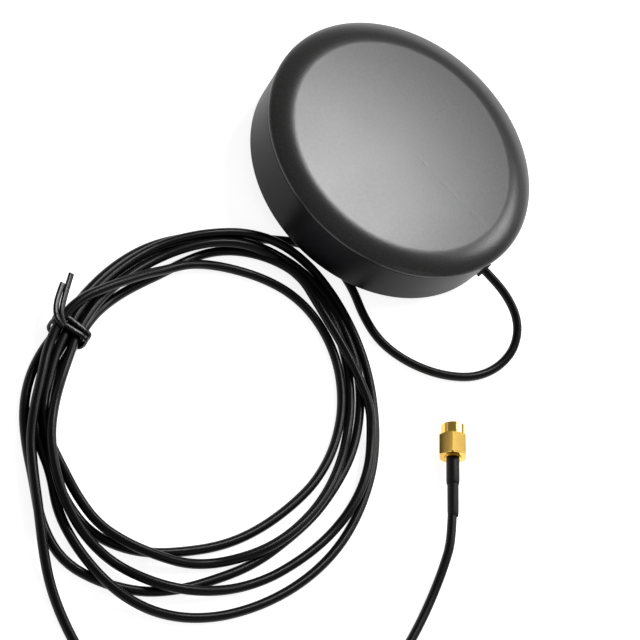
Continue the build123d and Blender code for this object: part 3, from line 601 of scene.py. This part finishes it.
def plug_place():
    """From the plug's own axes, Z out of its mouth and X up, to the frame."""
    forward = Vector((cos(PLUG_HEADING), sin(PLUG_HEADING), 0))
    upward = Vector((0, 0, 1))
    turned = Matrix((upward, forward.cross(upward), forward)).transposed().to_4x4()
    mouth = Vector((PLUG_MOUTH[0], PLUG_MOUTH[1], PLUG_HEIGHT)) * MM
    return Matrix.Translation(mouth) @ turned


outer_sleeve = turned_piece("outer_sleeve", OUTER_SLEEVE, plug_place(), SLEEVE_SIDES)
inner_sleeve = turned_piece("inner_sleeve", INNER_SLEEVE, plug_place(), SLEEVE_SIDES)
for sleeve, node in ((outer_sleeve, "shrink_sleeve_outer"), (inner_sleeve, "shrink_sleeve_inner")):
    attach(sleeve, "root")
    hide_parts(node)

# %% [markdown]
# ## Materials
#
# Every finish is a Principled material. It could be mixed from simpler shaders, but this one covers
# plastic, rubber and metal alike, and other programs can read it. What is even all over a surface is
# set on the shader's own sockets, and only what changes over the surface comes through nodes. The
# materials are kept by name, because the frame's record says by name which node wears which.

# %% A plain material
made = {}


def new_material(name, colour, roughness, metallic=0.0):
    """Principled material with its even values set on the shader."""
    material = bpy.data.materials.new(name)
    material.use_nodes = True
    shader = material.node_tree.nodes["Principled BSDF"]
    shader.inputs["Base Color"].default_value = (*colour, 1)
    shader.inputs["Roughness"].default_value = roughness
    shader.inputs["Metallic"].default_value = metallic
    made[name] = material
    return material


# %% [markdown]
# ## Moulded grain
#
# Moulded plastic, rubber and even plated metal are never quite even: the surface has a fine grain,
# and its gloss varies in broad patches. An image of a grain would stretch round the shapes, so two
# noise textures on Object coordinates make it. One node group holds them, with named inputs for the
# grain's size, its two tints and its two roughnesses, and every material places that group with
# values of its own.

# %% Grain group
GRAIN_DETAIL = 3.0
PATCHES_PER_METRE = 60.0
PATCH_LOW = 0.3
PATCH_HIGH = 0.7


def grain_group():
    """Fine moulded grain: heights, roughness and tint that vary over the surface."""
    group = bpy.data.node_groups.new("moulded_grain", "ShaderNodeTree")
    group.interface.new_socket("Size", in_out="INPUT", socket_type="NodeSocketFloat")
    group.interface.new_socket("Dark", in_out="INPUT", socket_type="NodeSocketColor")
    group.interface.new_socket("Light", in_out="INPUT", socket_type="NodeSocketColor")
    group.interface.new_socket("Smooth", in_out="INPUT", socket_type="NodeSocketFloat")
    group.interface.new_socket("Rough", in_out="INPUT", socket_type="NodeSocketFloat")
    for name, kind in (("Colour", "NodeSocketColor"), ("Roughness", "NodeSocketFloat"),
                       ("Height", "NodeSocketFloat")):
        group.interface.new_socket(name, in_out="OUTPUT", socket_type=kind)
    nodes, links = group.nodes, group.links
    inside, outside = nodes.new("NodeGroupInput"), nodes.new("NodeGroupOutput")
    where = nodes.new("ShaderNodeTexCoord")
    fine = nodes.new("ShaderNodeTexNoise")
    fine.inputs["Detail"].default_value = GRAIN_DETAIL
    broad = nodes.new("ShaderNodeTexNoise")
    broad.inputs["Scale"].default_value = PATCHES_PER_METRE
    links.new(where.outputs["Object"], fine.inputs["Vector"])
    links.new(where.outputs["Object"], broad.inputs["Vector"])
    links.new(inside.outputs["Size"], fine.inputs["Scale"])
    tint = nodes.new("ShaderNodeMix")
    tint.data_type = "RGBA"
    links.new(fine.outputs["Fac"], tint.inputs["Factor"])
    links.new(inside.outputs["Dark"], tint.inputs["A"])
    links.new(inside.outputs["Light"], tint.inputs["B"])
    gloss = nodes.new("ShaderNodeMapRange")
    links.new(broad.outputs["Fac"], gloss.inputs["Value"])
    gloss.inputs["From Min"].default_value = PATCH_LOW
    gloss.inputs["From Max"].default_value = PATCH_HIGH
    links.new(inside.outputs["Smooth"], gloss.inputs["To Min"])
    links.new(inside.outputs["Rough"], gloss.inputs["To Max"])
    links.new(tint.outputs["Result"], outside.inputs["Colour"])
    links.new(gloss.outputs["Result"], outside.inputs["Roughness"])
    links.new(fine.outputs["Fac"], outside.inputs["Height"])
    return group


GRAIN = grain_group()
print("grain group of", len(GRAIN.nodes), "nodes")


# %% A material with grain
def grained(name, dark, light, smooth, rough, grain_per_metre, height, metallic=0.0, specular=0.5):
    """Material with fine grain in its colour, gloss and surface, whose height is in metres."""
    material = new_material(name, dark, smooth, metallic)
    nodes, links = material.node_tree.nodes, material.node_tree.links
    shader = nodes["Principled BSDF"]
    shader.inputs["Specular IOR Level"].default_value = specular
    grain = nodes.new("ShaderNodeGroup")
    grain.node_tree = GRAIN
    grain.inputs["Size"].default_value = grain_per_metre
    grain.inputs["Dark"].default_value = (*dark, 1)
    grain.inputs["Light"].default_value = (*light, 1)
    grain.inputs["Smooth"].default_value = smooth
    grain.inputs["Rough"].default_value = rough
    links.new(grain.outputs["Colour"], shader.inputs["Base Color"])
    links.new(grain.outputs["Roughness"], shader.inputs["Roughness"])
    bump = nodes.new("ShaderNodeBump")
    bump.inputs["Distance"].default_value = height
    links.new(grain.outputs["Height"], bump.inputs["Height"])
    links.new(bump.outputs["Normal"], shader.inputs["Normal"])
    print(name, "grain of", round(1 / grain_per_metre / MM, 2), "mm")
    return material


# %% [markdown]
# ## The two shells
#
# The cover is black plastic with a fine spark texture, which scatters the light into a broad sheen.
# The lower shell is smoother and duller. Both are grained, and only their values differ.
#
# In the picture the cover's surface starts to fall away a little further in than on the solid. The
# frame's mesh stays as it is, so a broad soft bump tilts the light there instead: it falls smoothly
# between two distances from the housing's axis. Nodes work in Blender's own metres.

# %% A soft shoulder
SHOULDER_START = 0.0372
SHOULDER_END = 0.0495
SHOULDER_DROP = 0.0022


def soften_shoulder(material, start, end, drop):
    """Let the surface seem to fall away gently between two distances from the Z axis, in metres."""
    nodes, links = material.node_tree.nodes, material.node_tree.links
    where = nodes.new("ShaderNodeTexCoord")
    level = nodes.new("ShaderNodeVectorMath")
    level.operation = "MULTIPLY"
    level.inputs[1].default_value = (1, 1, 0)
    distance = nodes.new("ShaderNodeVectorMath")
    distance.operation = "LENGTH"
    fall = nodes.new("ShaderNodeMapRange")
    fall.interpolation_type = "SMOOTHSTEP"
    fall.inputs["From Min"].default_value = start
    fall.inputs["From Max"].default_value = end
    fall.inputs["To Max"].default_value = -drop
    broad = nodes.new("ShaderNodeBump")
    broad.inputs["Distance"].default_value = 1.0
    links.new(where.outputs["Object"], level.inputs[0])
    links.new(level.outputs["Vector"], distance.inputs[0])
    links.new(distance.outputs["Value"], fall.inputs["Value"])
    links.new(fall.outputs["Result"], broad.inputs["Height"])
    grain_bump = next(node for node in nodes if node.type == "BUMP" and node != broad)
    links.new(broad.outputs["Normal"], grain_bump.inputs["Normal"])


print("shoulder falls from", SHOULDER_START, "to", SHOULDER_END, "m")

# %% Cover and shell
cover_plastic = grained("cover_plastic", (0.004, 0.005, 0.004), (0.044, 0.046, 0.043), smooth=0.28,
                        rough=0.295, grain_per_metre=1500, height=0.000018)
soften_shoulder(cover_plastic, SHOULDER_START, SHOULDER_END, SHOULDER_DROP)
grained("shell_plastic", (0.010, 0.009, 0.011), (0.015, 0.013, 0.016), smooth=0.38, rough=0.42,
        grain_per_metre=2500, height=0.00001, specular=0.13)

# %% [markdown]
# ## Foot, board and fastenings
#
# From below one sees the rubber pad and four zinc-plated screws. The board, the foil, the solder and
# the magnet are closed in. They are dressed as carefully, because a picture with the cover hidden
# shows them.

# %% Foot, board and fastenings
grained("black_rubber", (0.012, 0.012, 0.012), (0.02, 0.02, 0.02), smooth=0.7, rough=0.85,
        grain_per_metre=3000, height=0.00003)
grained("board_laminate", (0.02, 0.10, 0.04), (0.03, 0.14, 0.06), smooth=0.3, rough=0.4,
        grain_per_metre=1500, height=0.00001)
grained("copper_foil", (0.60, 0.30, 0.16), (0.72, 0.40, 0.24), smooth=0.25, rough=0.35,
        grain_per_metre=800, height=0.00001, metallic=1.0)
grained("solder", (0.55, 0.55, 0.56), (0.7, 0.7, 0.72), smooth=0.2, rough=0.35,
        grain_per_metre=900, height=0.00001, metallic=1.0)
grained("screw_steel", (0.45, 0.45, 0.46), (0.62, 0.62, 0.64), smooth=0.3, rough=0.42,
        grain_per_metre=1400, height=0.00001, metallic=1.0)
grained("magnet_ferrite", (0.03, 0.03, 0.033), (0.06, 0.06, 0.064), smooth=0.55, rough=0.7,
        grain_per_metre=1500, height=0.00002)

# %% [markdown]
# ## Lead, plug and tie
#
# The cable's jacket is nearly black, with a narrow glossy line along it. The plug is gold plate on
# turned brass: a metal whose colour is its reflection, so it is smooth and hardly grained. The
# sleeves are duller than the jacket, and the tie's strip is glossier, with nubs from its mould.

# %% Lead, plug and tie
jacket_black = grained("jacket_black", (0.003, 0.003, 0.003), (0.006, 0.006, 0.006), smooth=0.28,
                       rough=0.34, grain_per_metre=1500, height=0.00001, specular=0.16)
grained("braid_copper", (0.55, 0.48, 0.40), (0.75, 0.68, 0.60), smooth=0.3, rough=0.45,
        grain_per_metre=3500, height=0.00005, metallic=1.0)
grained("white_insulator", (0.78, 0.77, 0.74), (0.86, 0.86, 0.84), smooth=0.35, rough=0.45,
        grain_per_metre=900, height=0.00001)
grained("plug_gold", (0.80, 0.50, 0.10), (0.90, 0.60, 0.16), smooth=0.13, rough=0.18,
        grain_per_metre=700, height=0.000003, metallic=1.0)
grained("spring_bronze", (0.5, 0.32, 0.15), (0.62, 0.42, 0.22), smooth=0.25, rough=0.35,
        grain_per_metre=900, height=0.00001, metallic=1.0)
grained("seal_red", (0.35, 0.05, 0.03), (0.42, 0.07, 0.05), smooth=0.5, rough=0.6,
        grain_per_metre=900, height=0.00001)
sleeve_black = grained("sleeve_black", (0.004, 0.004, 0.004), (0.009, 0.009, 0.009), smooth=0.42,
                       rough=0.5, grain_per_metre=1800, height=0.00001, specular=0.2)
tie_black = grained("tie_black", (0.003, 0.003, 0.003), (0.006, 0.006, 0.006), smooth=0.20,
                    rough=0.26, grain_per_metre=900, height=0.00006, specular=0.22)

# %% [markdown]
# ## Dress every piece
#
# The record names a material for each node of the frame, so a loop can dress them all, and none is
# forgotten as when each is picked by hand. The new pieces are dressed after it, one by one.


# %% Dress every piece
def dress(node, material):
    """Give a frame node its material."""
    mesh = frame["nodes"][node].data
    mesh.materials.clear()
    mesh.materials.append(material)


for row in frame["record"]["subparts"]:
    dress(row["node"], made[row["material_slot"]])
lead_curve.materials.append(jacket_black)
wire_tie.data.materials.append(tie_black)
for sleeve in (outer_sleeve, inner_sleeve):
    sleeve.data.materials.append(sleeve_black)

# %% [markdown]
# ## The floor
#
# The product lies on a white sheet. More light would make the sheet white, but it would also bleach
# the object. So the floor glows, and only for the camera, in mirrors and through glass, while it
# still takes a soft shadow. From below it is clear, so that a view from underneath shows the rubber
# pad. It lies a tenth of a millimetre under the pad, because two faces in one plane would flicker.

# %% Floor
FLOOR_SIZE = 6.0
FLOOR_DROP = 0.1
FLOOR_GLOW = 0.85
FLOOR_COLOUR = (0.8, 0.8, 0.8)
FLOOR_ROUGHNESS = 0.9
FLOOR_SPECULAR = 0.1


def floor_material():
    """Pale floor, white where the camera, a mirror or glass sees it, and clear from below."""
    material = new_material("pale_floor", FLOOR_COLOUR, FLOOR_ROUGHNESS)
    nodes, links = material.node_tree.nodes, material.node_tree.links
    shader = nodes["Principled BSDF"]
    shader.inputs["Specular IOR Level"].default_value = FLOOR_SPECULAR
    shader.inputs["Emission Color"].default_value = (1, 1, 1, 1)
    path = nodes.new("ShaderNodeLightPath")
    camera_or_mirror = nodes.new("ShaderNodeMath")
    or_glass = nodes.new("ShaderNodeMath")
    camera_or_mirror.operation = or_glass.operation = "MAXIMUM"
    glow = nodes.new("ShaderNodeMath")
    glow.operation = "MULTIPLY"
    glow.inputs[1].default_value = FLOOR_GLOW
    links.new(path.outputs["Is Camera Ray"], camera_or_mirror.inputs[0])
    links.new(path.outputs["Is Glossy Ray"], camera_or_mirror.inputs[1])
    links.new(camera_or_mirror.outputs["Value"], or_glass.inputs[0])
    links.new(path.outputs["Is Transmission Ray"], or_glass.inputs[1])
    links.new(or_glass.outputs["Value"], glow.inputs[0])
    links.new(glow.outputs["Value"], shader.inputs["Emission Strength"])
    side = nodes.new("ShaderNodeNewGeometry")
    clear = nodes.new("ShaderNodeBsdfTransparent")
    two_sides = nodes.new("ShaderNodeMixShader")
    links.new(side.outputs["Backfacing"], two_sides.inputs["Fac"])
    links.new(shader.outputs["BSDF"], two_sides.inputs[1])
    links.new(clear.outputs["BSDF"], two_sides.inputs[2])
    links.new(two_sides.outputs["Shader"], nodes["Material Output"].inputs["Surface"])
    return material


deselect()
bpy.ops.mesh.primitive_plane_add(size=FLOOR_SIZE, location=(0, 0, -FLOOR_DROP * MM))
floor = bpy.context.object
floor.name = "floor"
floor.data.materials.append(floor_material())
print("floor", FLOOR_SIZE, "m")

# %% [markdown]
# ## The world
#
# The world is the light that comes from everywhere. It could be a picture of a studio, but a plain
# white whose strength depends on the ray needs no file. It is dim, because the lamps are to shape the
# object, but the camera sees it white. Mirrors and glass see it pale near the horizon and dim
# higher up, as in a room with white walls, which gives the gold and the black plastic their edges.

# %% World
WORLD_LEVEL = 0.22
RIM_LOW = 0.05
RIM_HIGH = 0.30


def studio_world(level, low, high):
    """White for the camera, a pale rim near the horizon for mirrors, and a dim even light."""
    world = bpy.data.worlds.new("studio")
    world.use_nodes = True
    nodes, links = world.node_tree.nodes, world.node_tree.links
    path = nodes.new("ShaderNodeLightPath")
    where = nodes.new("ShaderNodeTexCoord")
    parts = nodes.new("ShaderNodeSeparateXYZ")
    rim = nodes.new("ShaderNodeMapRange")
    rim.inputs["From Min"].default_value = low
    rim.inputs["From Max"].default_value = high
    rim.inputs["To Min"].default_value = 1.0
    rim.inputs["To Max"].default_value = level
    mirrored = nodes.new("ShaderNodeMath")
    mirrored.operation = "MAXIMUM"
    mixed = nodes.new("ShaderNodeMix")
    mixed.inputs["A"].default_value = level
    strength = nodes.new("ShaderNodeMath")
    strength.operation = "MAXIMUM"
    links.new(where.outputs["Generated"], parts.inputs["Vector"])
    links.new(parts.outputs["Z"], rim.inputs["Value"])
    links.new(path.outputs["Is Glossy Ray"], mirrored.inputs[0])
    links.new(path.outputs["Is Transmission Ray"], mirrored.inputs[1])
    links.new(mirrored.outputs["Value"], mixed.inputs["Factor"])
    links.new(rim.outputs["Result"], mixed.inputs["B"])
    links.new(path.outputs["Is Camera Ray"], strength.inputs[0])
    links.new(mixed.outputs["Result"], strength.inputs[1])
    background = nodes["Background"]
    background.inputs["Color"].default_value = (1, 1, 1, 1)
    links.new(strength.outputs["Value"], background.inputs["Strength"])
    return world


bpy.context.scene.world = studio_world(WORLD_LEVEL, RIM_LOW, RIM_HIGH)
print("world level", WORLD_LEVEL)

# %% [markdown]
# ## The lamps
#
# A long pale sheen crosses the flat top in the picture, and the rounded shoulder round it is dark.
# That sheen is a large soft lamp behind the object, which the top mirrors towards the camera. A
# second lamp at the right gives the shoulder its pale right edge, and a weak one lights the wall.
# The first one could be placed by trying, but it stands about where the camera's line of sight goes
# after it bounces off the flat top, and that direction is known from the camera's angles.

# %% Lamps
LAMP_TARGET = Vector((0.02, -0.07, 0))


def area_lamp(name, azimuth, elevation, distance, width, height, power):
    """Soft lamp that looks at the object's middle from an azimuth and an elevation in degrees."""
    data = bpy.data.lights.new(name, "AREA")
    data.shape = "RECTANGLE"
    data.energy = power
    data.size = width
    data.size_y = height
    lamp = bpy.data.objects.new(name, data)
    bpy.context.scene.collection.objects.link(lamp)
    angle, rise = radians(azimuth), radians(elevation)
    direction = Vector((sin(angle) * cos(rise), -cos(angle) * cos(rise), sin(rise)))
    lamp.location = LAMP_TARGET + direction * distance
    lamp.rotation_euler = direction.to_track_quat("Z", "Y").to_euler()
    print(name, "power", power)


area_lamp("far_softbox", azimuth=188.5, elevation=52.5, distance=1.2, width=0.32, height=0.28, power=6.5)
area_lamp("right_softbox", azimuth=155, elevation=37, distance=1.3, width=0.42, height=0.36, power=4.0)
area_lamp("side_softbox", azimuth=75, elevation=35, distance=1.3, width=0.5, height=0.5, power=0.5)

# %% [markdown]
# ## Finish
#
# The dressed model has to stay as large as the solid one. Here the view layer is only brought up to
# date.

# %% Finish
bpy.context.view_layer.update()
